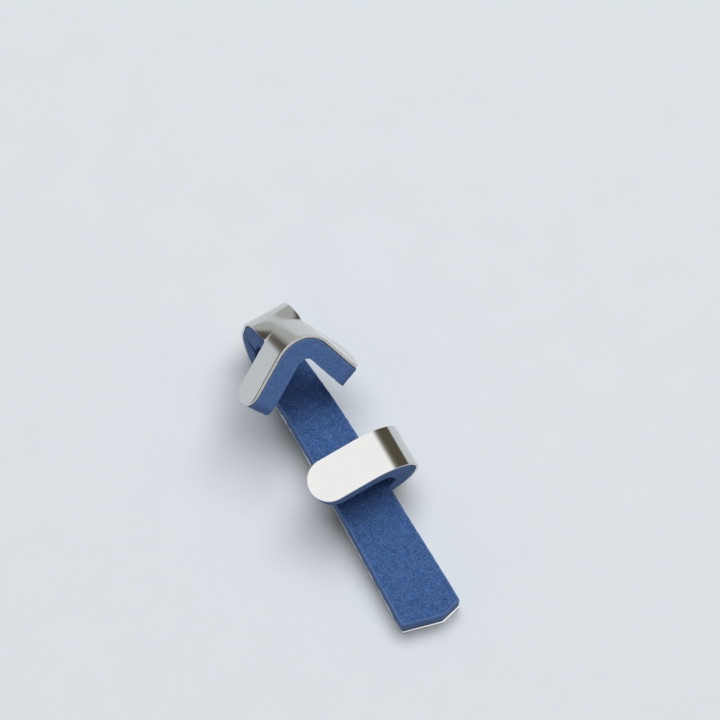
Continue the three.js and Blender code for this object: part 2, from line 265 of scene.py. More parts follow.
@dataclass(frozen=True)
class ShearedEdge:
    """Cut edge of the same aluminium: bright and torn, so that part of its light is scattered."""

    name: str = "sheared_aluminium_edge"
    colour: str = "#f3f1ed"
    metallic: float = 0.6
    roughness: tuple[float, float] = (0.45, 0.6)
    # Shear marks are under 0.1 mm; they are drawn at 0.3 mm so that they show
    mark_spacing: float = 0.3

    def build(self) -> bpy.types.Material:
        """Makes the material.

        Returns:
            A rougher metal than the rolled face.
        """
        material, tree, shader = new_material(
            self.name, {"Metallic": self.metallic, "Base Color": linear(self.colour)})
        place = add_node(tree, "ShaderNodeTexCoord")
        marks = add_noise(tree, place.outputs["Object"], self.mark_spacing)
        gloss = add_node(tree, "ShaderNodeMapRange", {
            "Value": marks, "To Min": self.roughness[0], "To Max": self.roughness[1]})
        torn = add_node(tree, "ShaderNodeBump", {"Height": marks, "Strength": 1.0, "Distance": 0.01 * MM})
        tree.links.new(gloss.outputs[0], shader.inputs["Roughness"])
        tree.links.new(torn.outputs[0], shader.inputs["Normal"])
        return material


@dataclass(frozen=True)
class OpenCellFoam:
    """Dyed open-cell polyurethane foam: matte, mottled, with pale flecks of cell wall whose glints are
    painted into the colour, and with cut faces painted paler.
    """

    name: str = "blue_open_cell_foam"
    body: str = "#375a8f"
    deep: str = "#294674"
    fuzz: str = "#6483b4"
    # Colour of the pale flecks: cell walls with their glints painted in
    wall_and_glint: str = "#9db3da"
    roughness: float = 0.92
    sheen: float = 0.18
    # Real cells are about 0.25 mm; they are drawn at 0.5 mm so that they show
    cell: float = 0.5
    fleck: float = 0.5
    mottle: float = 1.8
    cell_depth: float = 0.08

    def build(self) -> bpy.types.Material:
        """Makes the material.

        Returns:
            A rough dyed foam with cells, flecks that carry painted glints, and cut faces whose paler colour
            is partly fuzz and partly painted glow.
        """
        material, tree, shader = new_material(self.name, {
            "Roughness": self.roughness, "IOR": 1.45, "Specular IOR Level": 0.25, "Sheen Weight": self.sheen,
            "Sheen Roughness": 0.6, "Sheen Tint": linear("#a9bce8")})
        place = add_node(tree, "ShaderNodeTexCoord").outputs["Object"]
        clouds = add_noise(tree, place, self.mottle, 4.0, Roughness=0.65)
        cells = add_node(tree, "ShaderNodeTexVoronoi", {"Vector": place, "Scale": 1 / (self.cell * MM)})
        flecks = add_node(tree, "ShaderNodeTexVoronoi", {"Vector": place, "Scale": 1 / (self.fleck * MM)})
        fine = add_noise(tree, place, 0.5 * self.cell)
        mottled = add_node(tree, "ShaderNodeMapRange", {"Value": clouds, "From Min": 0.35, "From Max": 0.65})
        base = add_mix(tree, mottled.outputs[0], self.deep, self.body)
        walls = add_node(tree, "ShaderNodeMapRange", {
            "Value": cells.outputs["Distance"], "From Min": 0.3, "From Max": 0.75, "To Max": 0.36})
        walled = add_mix(tree, walls.outputs[0], base, self.fuzz)
        # Pale flecks: cell walls, lightened with painted glints of the light they catch
        chance = add_node(tree, "ShaderNodeSeparateColor", {0: flecks.outputs["Color"]})
        picked = add_node(
            tree, "ShaderNodeMath", {0: chance.outputs[0], 1: 0.8}, operation="GREATER_THAN")
        core = add_node(tree, "ShaderNodeMapRange", {
            "Value": flecks.outputs["Distance"], "From Min": 0.15, "From Max": 0.4,
            "To Min": 0.5, "To Max": 0.0})
        fleck_and_glint_share = add_node(
            tree, "ShaderNodeMath", {0: picked.outputs[0], 1: core.outputs[0]}, operation="MULTIPLY")
        flecked = add_mix(tree, fleck_and_glint_share.outputs[0], walled, self.wall_and_glint)
        # Rims and cut faces are mixed towards the paler fuzz colour: partly real fuzz of the cut, partly
        # painted glow of light through the foam
        rim = add_node(tree, "ShaderNodeAttribute", attribute_name=RIM)
        patchy = add_node(tree, "ShaderNodeMapRange", {
            "Value": fine, "From Min": 0.3, "From Max": 0.7, "To Min": 0.25, "To Max": 0.95})
        fuzz_and_painted_glow = add_node(
            tree, "ShaderNodeMath", {0: rim.outputs["Fac"], 1: patchy.outputs[0]}, operation="MULTIPLY")
        edged = add_mix(tree, fuzz_and_painted_glow.outputs[0], flecked, self.fuzz)
        pits = add_node(tree, "ShaderNodeBump", {
            "Height": cells.outputs["Distance"], "Strength": 0.8, "Distance": self.cell_depth * MM})
        rough = add_node(tree, "ShaderNodeBump", {
            "Height": fine, "Strength": 0.7, "Distance": self.cell_depth * MM,
            "Normal": pits.outputs[0]})
        tree.links.new(edged, shader.inputs["Base Color"])
        tree.links.new(rough.outputs[0], shader.inputs["Normal"])
        return material


@dataclass(frozen=True)
class TornCellWall:
    """Loose bits of cell wall that stand on cut foam, paler than the body because light passes them."""

    name: str = "torn_foam_cell_wall"
    colour: str = "#7288b6"
    shade: str = "#4f6fa5"

    def build(self) -> bpy.types.Material:
        """Makes the material.

        Returns:
            A matte pale blue.
        """
        material, tree, shader = new_material(self.name, {"Roughness": 0.9, "IOR": 1.45})
        patch = add_noise(tree, add_node(tree, "ShaderNodeTexCoord").outputs["Object"], 1.5)
        tree.links.new(add_mix(tree, patch, self.shade, self.colour), shader.inputs["Base Color"])
        return material


@dataclass(frozen=True)
class TablePaper:
    """Pale blue-grey seamless paper under the splint."""

    name: str = "pale_table_paper"
    colour: str = "#dde2e4"
    shade: str = "#d9dee0"

    def build(self) -> bpy.types.Material:
        """Makes the material.

        Returns:
            A matte paper with a very faint mottle.
        """
        material, tree, shader = new_material(self.name, {"Roughness": 0.9, "Specular IOR Level": 0.1})
        mottle = add_noise(tree, add_node(tree, "ShaderNodeTexCoord").outputs["Object"], 1000 / 60, 3.0)
        tree.links.new(add_mix(tree, mottle, self.colour, self.shade), shader.inputs["Base Color"])
        return material


# Sheets


class Blank:
    """A flat sheet as shared points and four-cornered faces, counter-clockwise from the finger side."""

    def __init__(self) -> None:
        """Starts with nothing."""
        self.points: list[tuple[float, float]] = []
        self.faces: list[tuple[int, ...]] = []
        self.index: dict[tuple[int, int], int] = {}

    def point(self, s: float, q: float) -> int:
        """Finds or adds a point.

        Args:
            s: millimetres along.
            q: millimetres across.

        Returns:
            The point's number.
        """
        key = (round(s * 1e4), round(q * 1e4))
        if key not in self.index:
            self.index[key] = len(self.points)
            self.points.append((s, q))
        return self.index[key]

    def grid(self, rows: Sequence[Sequence[tuple[float, float]]]) -> None:
        """Adds the faces between rows that run along the sheet.

        Args:
            rows: rows of points, each from left to right.
        """
        for near, far in zip(rows, rows[1:]):
            for j in range(len(near) - 1):
                ring = [self.point(*p) for p in (near[j], near[j + 1], far[j + 1], far[j])]
                corners = tuple(dict.fromkeys(ring))
                if len(corners) > 2:
                    self.faces.append(corners)

    def boundary(self) -> list[tuple[int, int]]:
        """The edges that only one face uses, each in that face's direction.

        Returns:
            Pairs of vertex numbers, one pair for each edge.
        """
        edges: dict[tuple[int, int], None] = {}
        for face in self.faces:
            for a, b in zip(face, face[1:] + face[:1]):
                if (b, a) in edges:
                    del edges[(b, a)]
                else:
                    edges[(a, b)] = None
        return list(edges)


def sheet_solid(name: str, blank: Blank, place: Place, lower: Offset, upper: Offset,
                levels: int) -> bpy.types.Object:
    """Thickens a blank into a closed solid and bends it into place.

    Args:
        name: the new object's name.
        blank: the flat sheet.
        place: turns s, q and offset into millimetre points.
        lower: offset of the face away from the finger.
        upper: offset of the face towards the finger.
        levels: steps through the thickness on the cut edges.

    Returns:
        The object, in metres, with its flat size as UVs, its cut faces and its rim marked.
    """
    flat = np.array(blank.points)
    s, q = flat[:, 0], flat[:, 1]
    low, high = lower(s, q), upper(s, q)
    count = len(flat)
    edges = blank.boundary()
    rim = sorted({a for edge in edges for a in edge})
    rim_index = {a: i for i, a in enumerate(rim)}
    shells = [place(s, q, low), place(s, q, high)]
    for level in range(1, levels):
        share = level / levels
        shells.append(place(s[rim], q[rim], (low + (high - low) * share)[rim]))
    points = np.vstack(shells)

    def number(a: int, level: int) -> int:
        """The vertex of boundary point a at a level of the cut edge.

        Args:
            a: the boundary point's number on the lower face.
            level: the level, from 0 on that face.

        Returns:
            The vertex's number in the mesh.
        """
        if level == 0:
            return a
        if level == levels:
            return a + count
        return 2 * count + (level - 1) * len(rim) + rim_index[a]

    faces: list[tuple[int, ...]] = []
    uvs: list[tuple[float, float]] = []
    for face in blank.faces:
        faces.append(tuple(a + count for a in face))
        uvs += [blank.points[a] for a in face]
    for face in blank.faces:
        turned = tuple(reversed(face))
        faces.append(turned)
        uvs += [blank.points[a] for a in turned]
    cut_from = len(faces)
    for a, b in edges:
        run_a, run_b = sum(blank.points[a]), sum(blank.points[b])
        for level in range(levels):
            faces.append((number(a, level), number(b, level), number(b, level + 1), number(a, level + 1)))
            thick = [(low[p] + (high[p] - low[p]) * lv / levels) for p, lv in
                     ((a, level), (b, level), (b, level + 1), (a, level + 1))]
            uvs += list(zip((run_a, run_b, run_b, run_a), thick))
    mesh = bpy.data.meshes.new(name)
    mesh.from_pydata((points * MM).tolist(), [], faces)
    mesh.uv_layers.new(name=SHEET_UV).data.foreach_set("uv", np.array(uvs, np.float32).ravel())
    cut = mesh.attributes.new(CUT_FACES, "BOOLEAN", "FACE")
    cut.data.foreach_set("value", [i >= cut_from for i in range(len(faces))])
    # Paler edge colour per point: full on the rims for the fuzz of the cut, and a share over the cut faces
    # as painted glow
    fuzz_and_painted_glow = np.zeros(len(points), np.float32)
    fuzz_and_painted_glow[2 * count :] = CUT_FACE_FUZZ_AND_PAINTED_GLOW
    fuzz_and_painted_glow[[a + count for a in rim]] = 1.0
    fuzz_and_painted_glow[rim] = 1.0
    mesh.attributes.new(RIM, "FLOAT", "POINT").data.foreach_set("value", fuzz_and_painted_glow)
    return add_object(name, mesh)


def frozen(thing: bpy.types.Object) -> bpy.types.Object:
    """Replaces an object's mesh by the result of its modifiers.

    Args:
        thing: the object with its modifiers.

    Returns:
        The same object, with a plain mesh and no modifiers.
    """
    graph = bpy.context.evaluated_depsgraph_get()
    mesh = bpy.data.meshes.new_from_object(
        thing.evaluated_get(graph), preserve_all_data_layers=True, depsgraph=graph)
    old = thing.data
    thing.modifiers.clear()
    thing.data = mesh
    bpy.data.meshes.remove(old)
    mesh.name = thing.name
    return thing


def shaped_by(thing: bpy.types.Object, tree: bpy.types.NodeTree, sizes: dict) -> bpy.types.Object:
    """Runs a geometry node tree over an object and keeps the result.

    Args:
        thing: the object.
        tree: the tree.
        sizes: values of the tree's inputs, by name.

    Returns:
        The same object, with a plain mesh.
    """
    modifier = thing.modifiers.new(tree.name, "NODES")
    modifier.node_group = tree
    for item in tree.interface.items_tree:
        if item.in_out == "INPUT" and item.name in sizes:
            modifier[item.identifier] = sizes[item.name]
    return frozen(thing)


def eased(thing: bpy.types.Object, radius: float, segments: int) -> bpy.types.Object:
    """Rounds the sharp edges of a piece.

    Args:
        thing: the piece.
        radius: millimetres.
        segments: steps round the edge.

    Returns:
        The piece with a plain, smooth-shaded mesh.
    """
    bevel = thing.modifiers.new("eased_edges", "BEVEL")
    bevel.width = radius * MM
    bevel.segments = segments
    bevel.limit_method = "ANGLE"
    bevel.angle_limit = math.radians(50)
    bevel.use_clamp_overlap = True
    frozen(thing)
    thing.data.polygons.foreach_set("use_smooth", [True] * len(thing.data.polygons))
    thing.data.set_sharp_from_angle(angle=math.radians(60))
    return thing


def roughened(thing: bpy.types.Object, depth: float, wave: float, seed: int) -> None:
    """Gives cut foam its slightly uneven faces.

    Args:
        thing: the foam piece.
        depth: how far a point moves, in millimetres.
        wave: distance between bumps, in millimetres.
        seed: picks the pattern. Without one, Blender picks another pattern each time it starts.
    """
    noise.seed_set(seed)
    for vertex in thing.data.vertices:
        spot = Vector(vertex.co) / (wave * MM)
        fine = noise.noise_vector(spot * 3.1)
        vertex.co += (noise.noise_vector(spot) + 0.6 * fine) * depth * MM


@dataclass(frozen=True)
class Rest:
    """How the splint lies on the table: turned about x and then y, and moved onto the CAD frame."""

    pitch: float = 4.9
    roll: float = -0.5

    def turn(self) -> np.ndarray:
        """The turn as a 3 by 3 matrix.

        Returns:
            The rotation, pitch first and then roll.
        """
        pitch = Matrix.Rotation(math.radians(self.pitch), 3, "X")
        roll = Matrix.Rotation(math.radians(self.roll), 3, "Y")
        return np.array(roll @ pitch)

    def shift(self, reference: np.ndarray, node: str) -> np.ndarray:
        """Finds where the CAD frame has put the part.

        Args:
            reference: unturned millimetre points of the whole of one CAD node.
            node: that node's name.

        Returns:
            The millimetre shift after the turn.
        """
        low = (reference @ self.turn().T).min(0)
        return np.array(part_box(node)[0]) / MM - low


# Sub-assemblies


@dataclass(frozen=True)
class Run:
    """One stretch of the strip between two bends."""

    name: str
    length: float
    turn: float = 0.0
    twist: float = 0.0


@dataclass
class Strip:
    """The long strip: a metal sheet bent into limb, hook and fingertip bar, with its foam lining."""

    rest: Rest
    metal: float = 0.8
    foam: float = 6.0
    clearance: float = 0.3
    # The pinch is cut deeper here than in the CAD solid, as the photograph shows it
    crease_depth: float = 4.6
    crease_width: float = 3.6
    # Cut foam springs out flush with the metal, 0.2 mm past its CAD solid
    side_inset: float = 0.0
    end_inset: float = 0.5
    end_width: float = 18.0
    stem_width: float = 12.7
    taper: tuple[float, float] = (8.0, 100.0)
    runs: tuple[Run, ...] = (
        Run("limb", 58.3), Run("drop", 24.7, -24.4, -0.2), Run("run", 3.5), Run("hook", 23.6, 117.4, 4.0),
        Run("rise", 6.4), Run("crown", 7.4, 39.2), Run("stem", 9.2, 0.0, -4.7), Run("bar", 10.8))
    end_point: float = 2.9
    end_cuts: tuple[float, float] = (3.0, 1.7)
    end_zone: float = 7.0
    fold_radius: dict[Side, float] = field(default_factory=lambda: {Side.LEFT: 10.5, Side.RIGHT: 8.3})
    fold_angle: dict[Side, float] = field(default_factory=lambda: {Side.LEFT: 41.3, Side.RIGHT: 61.6})
    fold_at_back: dict[Side, float] = field(default_factory=lambda: {Side.LEFT: 1.0, Side.RIGHT: 0.9})
    wing: dict[Side, float] = field(default_factory=lambda: {Side.LEFT: 18.2, Side.RIGHT: 17.5})
    wing_corner: float = 4.4
    foam_corner: float = 3.2
    inner_corner: float = 1.2
    columns: int = 26
    origin: np.ndarray = field(default_factory=lambda: np.zeros(3))

    def __post_init__(self) -> None:
        """Walks the runs once and keeps the frame of every small step."""
        self.ends = dict(zip([r.name for r in self.runs], np.cumsum([r.length for r in self.runs])))
        self.bar_width = self.runs[-1].length
        self.path = self.trace()

    def trace(self, step: float = 0.1) -> dict[str, np.ndarray]:
        """Follows the bends with a turning frame.

        Args:
            step: millimetres between kept frames.

        Returns:
            Station, point, across and up of each step.
        """
        point, along = np.zeros(3), np.array([0.0, 1.0, 0.0])
        across, up = np.array([1.0, 0.0, 0.0]), np.array([0.0, 0.0, 1.0])
        kept = [(0.0, point, across, up)]
        station = 0.0
        for run in self.runs:
            steps = max(1, round(run.length / step))
            stride = run.length / steps
            half_turn, twist = math.radians(run.turn) / steps / 2, math.radians(run.twist) / steps
            for _ in range(steps):
                along, up = (turned_about(v, across, half_turn) for v in (along, up))
                point = point + along * stride
                along, up = (turned_about(v, across, half_turn) for v in (along, up))
                across, up = (turned_about(v, along, twist) for v in (across, up))
                station += stride
                kept.append((station, point, across, up))
        names = ("station", "point", "across", "up")
        return {name: np.array([k[i] for k in kept]) for i, name in enumerate(names)}

    def share(self, s: np.ndarray, q: np.ndarray) -> np.ndarray:
        """How much of the bar's fold a station has, from 0 to 1.

        Args:
            s: stations along the strip.
            q: distances across it.

        Returns:
            One share for each point.
        """
        start, end = self.ends["crown"], self.ends["stem"]
        grown = np.clip((s - start) / (end - start), 0, 1)
        grown = grown * grown * (3 - 2 * grown)
        at_back = np.where(q < 0, self.fold_at_back[Side.LEFT], self.fold_at_back[Side.RIGHT])
        on_bar = np.clip((s - end) / self.bar_width, 0, 1)
        return grown * (at_back + (1 - at_back) * on_bar)

    def place(self, s: np.ndarray, q: np.ndarray, offset: np.ndarray) -> np.ndarray:
        """Bends flat points into space and lays them on the table.

        Args:
            s: stations along the strip.
            q: distances across it.
            offset: distance from the lined face, towards the finger.

        Returns:
            Millimetre points in the CAD frame.
        """
        spot = np.clip(s, 0, self.path["station"][-1])
        at = {}
        for name in ("point", "across", "up"):
            columns = [np.interp(spot, self.path["station"], self.path[name][:, i]) for i in range(3)]
            at[name] = np.stack(columns, -1)
        for name in ("across", "up"):
            at[name] /= np.linalg.norm(at[name], axis=1)[:, None]
        share = self.share(s, q)
        fold = np.where(q < 0, self.fold_radius[Side.LEFT], self.fold_radius[Side.RIGHT])
        angle = np.radians(np.where(q < 0, self.fold_angle[Side.LEFT], self.fold_angle[Side.RIGHT]))
        curved = np.clip(q, -fold * angle, fold * angle)
        turn = share * curved / fold
        radius = fold / np.maximum(share, 1e-6)
        sideways = np.where(share > 1e-6, radius * np.sin(turn), curved)
        rise = np.where(share > 1e-6, radius * (1 - np.cos(turn)), 0.0)
        sideways = sideways + (q - curved) * np.cos(turn) - offset * np.sin(turn)
        rise = rise + (q - curved) * np.sin(turn) + offset * np.cos(turn)
        points = at["point"] + at["across"] * sideways[:, None] + at["up"] * rise[:, None]
        return points @ self.rest.turn().T + self.origin

    def half_width(self, s: float) -> float:
        """Half of the strip's width, with the rounded inner corners where it meets the bar.

        Args:
            s: station along the strip.

        Returns:
            Half of the width in millimetres.
        """
        share = min(max((s - self.taper[0]) / (self.taper[1] - self.taper[0]), 0), 1)
        half = (self.end_width + (self.stem_width - self.end_width) * share) / 2
        into = min(max((s - self.ends["stem"] + self.inner_corner) / self.inner_corner, 0), 1)
        return half + self.inner_corner * (1 - math.sqrt(1 - into * into))

    def end_cut(self, q: float) -> float:
        """How far the slanted end lies behind its lowest point, across the strip.

        Args:
            q: distance across the strip.

        Returns:
            Millimetres along the strip.
        """
        half = self.end_width / 2
        if q < self.end_point:
            return self.end_cuts[0] * (self.end_point - q) / (self.end_point + half)
        return self.end_cuts[1] * (q - self.end_point) / (half - self.end_point)

    def stations(self) -> list[float]:
        """Stations from the end zone to the bar, close together where the strip bends.

        Returns:
            The stations in millimetres, in order.
        """
        found, start = [self.end_zone], 0.0
        for run in self.runs[:-1]:
            end = start + run.length
            step = 1.0 if run.name in ("limb", "run") else 0.45
            first = max(start, self.end_zone)
            found += spread(first, end, max(1, round((end - first) / step)))[1:]
            start = end
        corner = [self.ends["stem"] - self.inner_corner * (1 - math.sin(math.radians(a)))
                  for a in spread(0, 90, 7)]
        return [s for s in found if s < corner[0] - 0.3] + corner

    def blank(self, side_inset: float, end_inset: float, corner: float) -> Blank:
        """Lays out the flat T-shaped blank.

        Args:
            side_inset: how far the sides stand back.
            end_inset: how far the open end stands back.
            corner: radius of the wings' corners.

        Returns:
            The blank of one layer.
        """
        blank = Blank()
        shares = spread(-1, 1, self.columns)

        def core(s: float) -> list[tuple[float, float]]:
            """One row across the strip."""
            return [(s, v * (self.half_width(s) - side_inset)) for v in shares]

        half = self.end_width / 2 - side_inset
        across = [v * half for v in shares]
        across[int(np.argmin([abs(q - self.end_point) for q in across]))] = self.end_point
        last = core(self.end_zone)
        blank.grid([[((1 - t) * (self.end_cut(q) + end_inset) + t * last[j][0], (1 - t) * q + t * last[j][1])
                     for j, q in enumerate(across)] for t in spread(0, 1, 9)])
        blank.grid([core(s) for s in self.stations()])

        bar_half = self.bar_width / 2
        middle = self.ends["stem"] + bar_half
        core_half = self.half_width(self.ends["stem"]) - side_inset

        def wing_half(q: float) -> float:
            """Half of a wing's width at a distance across.

            Args:
                q: distance across the strip.

            Returns:
                Half of the wing's width in millimetres.
            """
            tip = self.stem_width / 2 + self.wing[Side.LEFT if q < 0 else Side.RIGHT]
            past = max(0.0, abs(q) - (tip - corner))
            return bar_half - side_inset - corner + math.sqrt(max(0.0, corner * corner - past * past))

        def wing(side: Side) -> list[float]:
            """Distances across, from the core to the wing's tip.

            Args:
                side: which wing.

            Returns:
                The distances in millimetres, in order.
            """
            tip = self.stem_width / 2 + self.wing[side]
            flat = spread(core_half, tip - corner, 16)
            tipped = [tip - corner + (corner - side_inset) * math.sin(math.radians(a))
                      for a in spread(0, 90, 10)]
            return (flat + tipped[1:])[1:]

        spots = [-q for q in reversed(wing(Side.LEFT))]
        spots += [v * core_half for v in shares] + wing(Side.RIGHT)
        rows = []
        for level in spread(-1, 1, 16):
            row = []
            for q in spots:
                on_wing = abs(q) > core_half + 1e-6
                reach = wing_half(q) if on_wing else bar_half
                back = min(bar_half, reach + side_inset) if on_wing else bar_half
                row.append((middle + level * (back if level < 0 else min(reach, bar_half - side_inset)), q))
            rows.append(row)
        blank.grid(rows)
        return blank

    def foam_top(self, s: np.ndarray, q: np.ndarray) -> np.ndarray:
        """Offset of the foam's free face, with the pinched crease under the crown.

        Args:
            s: stations along the strip.
            q: distances across it; not used.

        Returns:
            Millimetres from the lined face, one for each point.
        """
        away = np.abs(s - self.ends["hook"]) / (self.crease_width / 2)
        valley = self.crease_depth * np.maximum(0, 1 - away) ** 0.8
        lips = 0.15 * np.exp(-((away - 1.5) ** 2) / 0.3)
        return self.clearance + self.foam - valley + lips * (away > 0.9)

    def build_metal(self) -> bpy.types.Object:
        """Makes the bent metal sheet."""
        return sheet_solid("strip_sheet", self.blank(0, 0, self.wing_corner), self.place,
                           lambda s, q: np.full_like(s, -self.metal), lambda s, q: np.zeros_like(s), 1)

    def build_foam(self) -> bpy.types.Object:
        """Makes the foam lining that follows the metal.

        Returns:
            The strip's lining.
        """
        lining = sheet_solid("strip_lining", self.blank(self.side_inset, self.end_inset, self.foam_corner),
                             self.place, lambda s, q: np.full_like(s, self.clearance), self.foam_top, 9)
        roughened(lining, 0.10, 2.2, 3)
        return lining


@dataclass
class Band:
    """The curled band: a straight strip rolled round the finger from one side, with its foam lining."""

    rest: Rest
    metal: float = 0.8
    foam: float = 5.0
    clearance: float = 0.3
    width: float = 12.7
    start: float = 41.3
    face: float = -1.9
    base: float = 8.2
    corner: tuple[float, float] = (5.0, 28.7)
    loop: tuple[float, float] = (13.2, 159.9)
    top: float = 17.5
    heel_angle: float = 45.0
    # How far the foam bulges inwards where the bend squeezes it
    squeeze: float = 1.5
    limb_edge: float = 8.4
    limb_top: float = 6.3
    # Cut foam springs out flush with the metal, 0.2 mm past its CAD solid
    side_inset: float = 0.0
    end_inset: float = 0.5
    columns: int = 26
    origin: np.ndarray = field(default_factory=lambda: np.zeros(3))

    def __post_init__(self) -> None:
        """Works out the flat stations of the bends."""
        self.base_end = self.width / 2 + self.base
        self.loop_start = self.base_end + self.corner[0] * math.radians(self.corner[1])
        self.loop_end = self.loop_start + self.loop[0] * math.radians(self.loop[1])
        self.end = self.loop_end + self.top

    def blank(self, start: float, end: float, round_start: bool, side_inset: float) -> Blank:
        """Lays out a straight blank with full-round ends.

        Args:
            start: its first station.
            end: its last station.
            round_start: whether the first end is round too.
            side_inset: how far the sides stand back.

        Returns:
            The flat blank.
        """
        blank = Blank()
        half = self.width / 2 - side_inset
        across = [half * math.sin(math.radians(a)) for a in spread(-90, 90, self.columns)]
        zone = half + 1.5
        first = start + zone if round_start else start

        def drawn_in(q: float) -> float:
            """How far a round end lies behind its tip."""
            return half - math.sqrt(max(0.0, half * half - q * q))

        if round_start:
            blank.grid([[((1 - t) * (start + drawn_in(q)) + t * first, q) for q in across]
                        for t in spread(0, 1, 12)])
        steps = round((end - zone - first) / 0.5)
        blank.grid([[(t, q) for q in across] for t in spread(first, end - zone, steps)])
        blank.grid([[((1 - t) * (end - zone) + t * (end - drawn_in(q)), q) for q in across]
                    for t in spread(0, 1, 12)])
        return blank

    def foam_top(self, t: np.ndarray, q: np.ndarray) -> np.ndarray:
        """Offset of the foam's free face: level round the loop, and out to the limb at the heel.

        Args:
            t: stations along the band.
            q: distances across it; not used.

        Returns:
            Millimetres from the band's outer face.
        """
        low = self.metal + self.clearance

        def outer(station: np.ndarray) -> tuple[np.ndarray, np.ndarray, np.ndarray]:
            """Heading of the band's outer face at a station, and its place across and above the limb.

            Args:
                station: stations along the band, in millimetres.

            Returns:
                The heading in radians, then both places in millimetres.
            """
            first = np.clip(station - self.base_end, 0, self.loop_start - self.base_end) / self.corner[0]
            heading = first + np.clip(station - self.loop_start, 0, None) / self.loop[0]
            x = self.base + self.corner[0] * np.sin(first) + self.loop[0] * (np.sin(heading) - np.sin(first))
            n = (self.face + self.corner[0] * (1 - np.cos(first))
                 + self.loop[0] * (np.cos(first) - np.cos(heading)))
            return heading, x, n

        heel_end = self.loop_start + self.loop[0] * math.radians(self.heel_angle)
        last, last_x, last_n = (float(v) for v in outer(np.array(heel_end)))
        rise_x = last_x - (low + self.foam) * math.sin(last) - self.limb_edge
        rise_n = last_n + (low + self.foam) * math.cos(last) - self.limb_top
        heading, x, n = outer(t)
        to_wall = (x - self.limb_edge) / np.sin(np.maximum(heading, 0.05))
        to_slope = ((x - self.limb_edge) * rise_n - (n - self.limb_top) * rise_x) / (
            np.sin(heading) * rise_n + np.cos(heading) * rise_x)
        heel = np.maximum(np.minimum(to_wall, to_slope), low + 0.2)
        round_bend = np.clip((t - self.loop_start) / (self.loop_end - self.loop_start), 0, 1)
        squeezed = self.squeeze * np.sin(math.pi * round_bend) ** 2
        return np.where(t < heel_end, heel, low + self.foam) + squeezed

    def roll_tree(self, name: str, face: bpy.types.Material, cut: bpy.types.Material) -> bpy.types.NodeTree:
        """Builds the geometry nodes that roll a flat sheet round the finger.

        Args:
            name: the tree's name.
            face: material of the sheet's faces.
            cut: material of its cut edges.

        Returns:
            The tree, whose inputs are the sizes of the two bends.
        """
        tree = geometry_tree(name, dict.fromkeys(self.roll_sizes(), "NodeSocketFloat"))
        given = add_node(tree, "NodeGroupInput").outputs
        here = add_node(tree, "GeometryNodeInputPosition")
        flat = add_node(tree, "ShaderNodeSeparateXYZ", {0: here.outputs[0]}).outputs
        value = {"t": flat[0], "q": flat[1], "off": flat[2], "zero": 0.0}
        value.update({label: given[label] for label in self.roll_sizes()})
        steps = (
            ("past", "SUBTRACT", "t", "Base End"), ("past0", "MAXIMUM", "past", "zero"),
            ("reach1", "MULTIPLY", "Corner Radius", "Corner Angle"), ("arc1", "MINIMUM", "past0", "reach1"),
            ("h1", "DIVIDE", "arc1", "Corner Radius"),
            ("on", "SUBTRACT", "past", "reach1"), ("on0", "MAXIMUM", "on", "zero"),
            ("reach2", "MULTIPLY", "Loop Radius", "Loop Angle"), ("arc2", "MINIMUM", "on0", "reach2"),
            ("turn2", "DIVIDE", "arc2", "Loop Radius"), ("h2", "ADD", "h1", "turn2"),
            ("beyond", "SUBTRACT", "on", "reach2"), ("tail", "MAXIMUM", "beyond", "zero"),
            ("head", "MINIMUM", "t", "Base End"),
            ("s1", "SINE", "h1", None), ("c1", "COSINE", "h1", None),
            ("s2", "SINE", "h2", None), ("c2", "COSINE", "h2", None),
            ("radii", "SUBTRACT", "Corner Radius", "Loop Radius"),
            ("x1", "MULTIPLY", "radii", "s1"), ("x2", "MULTIPLY", "Loop Radius", "s2"),
            ("x3", "MULTIPLY", "tail", "c2"), ("x4", "MULTIPLY", "off", "s2"),
            ("x5", "SUBTRACT", "head", "Half Width"), ("x6", "ADD", "x5", "x1"), ("x7", "ADD", "x6", "x2"),
            ("x8", "ADD", "x7", "x3"), ("x", "SUBTRACT", "x8", "x4"),
            ("n1", "MULTIPLY", "radii", "c1"), ("n2", "MULTIPLY", "Loop Radius", "c2"),
            ("n3", "MULTIPLY", "tail", "s2"), ("n4", "MULTIPLY", "off", "c2"),
            ("n5", "ADD", "Face", "Corner Radius"), ("n6", "SUBTRACT", "n5", "n1"),
            ("n7", "SUBTRACT", "n6", "n2"), ("n8", "ADD", "n7", "n3"), ("n", "ADD", "n8", "n4"),
            ("y", "SUBTRACT", "Middle", "q"),
        )
        for label, operation, left, right in steps:
            sockets = {0: value[left]} if right is None else {0: value[left], 1: value[right]}
            value[label] = add_node(tree, "ShaderNodeMath", sockets, operation=operation).outputs[0]
        rolled = add_node(tree, "ShaderNodeCombineXYZ", {0: value["x"], 1: value["y"], 2: value["n"]})
        moved = add_node(tree, "GeometryNodeSetPosition", {
            0: given["Geometry"], "Position": rolled.outputs[0]})
        real = add_node(tree, "GeometryNodeRealizeInstances", {0: moved.outputs[0]})
        faced = add_node(tree, "GeometryNodeSetMaterial", {0: real.outputs[0], "Material": face})
        marked = add_node(tree, "GeometryNodeInputNamedAttribute", {"Name": CUT_FACES}, data_type="BOOLEAN")
        edged = add_node(tree, "GeometryNodeSetMaterial", {
            0: faced.outputs[0], "Selection": marked.outputs[0], "Material": cut})
        add_node(tree, "NodeGroupOutput", {0: edged.outputs[0]})
        return tree

    def roll_sizes(self) -> dict[str, float]:
        """The roll's inputs, in metres and radians.

        Returns:
            Each input's value, by its name.
        """
        return {
            "Base End": self.base_end * MM, "Half Width": self.width / 2 * MM,
            "Corner Radius": self.corner[0] * MM, "Corner Angle": math.radians(self.corner[1]),
            "Loop Radius": self.loop[0] * MM, "Loop Angle": math.radians(self.loop[1]),
            "Face": self.face * MM, "Middle": (self.start + self.width / 2) * MM,
        }

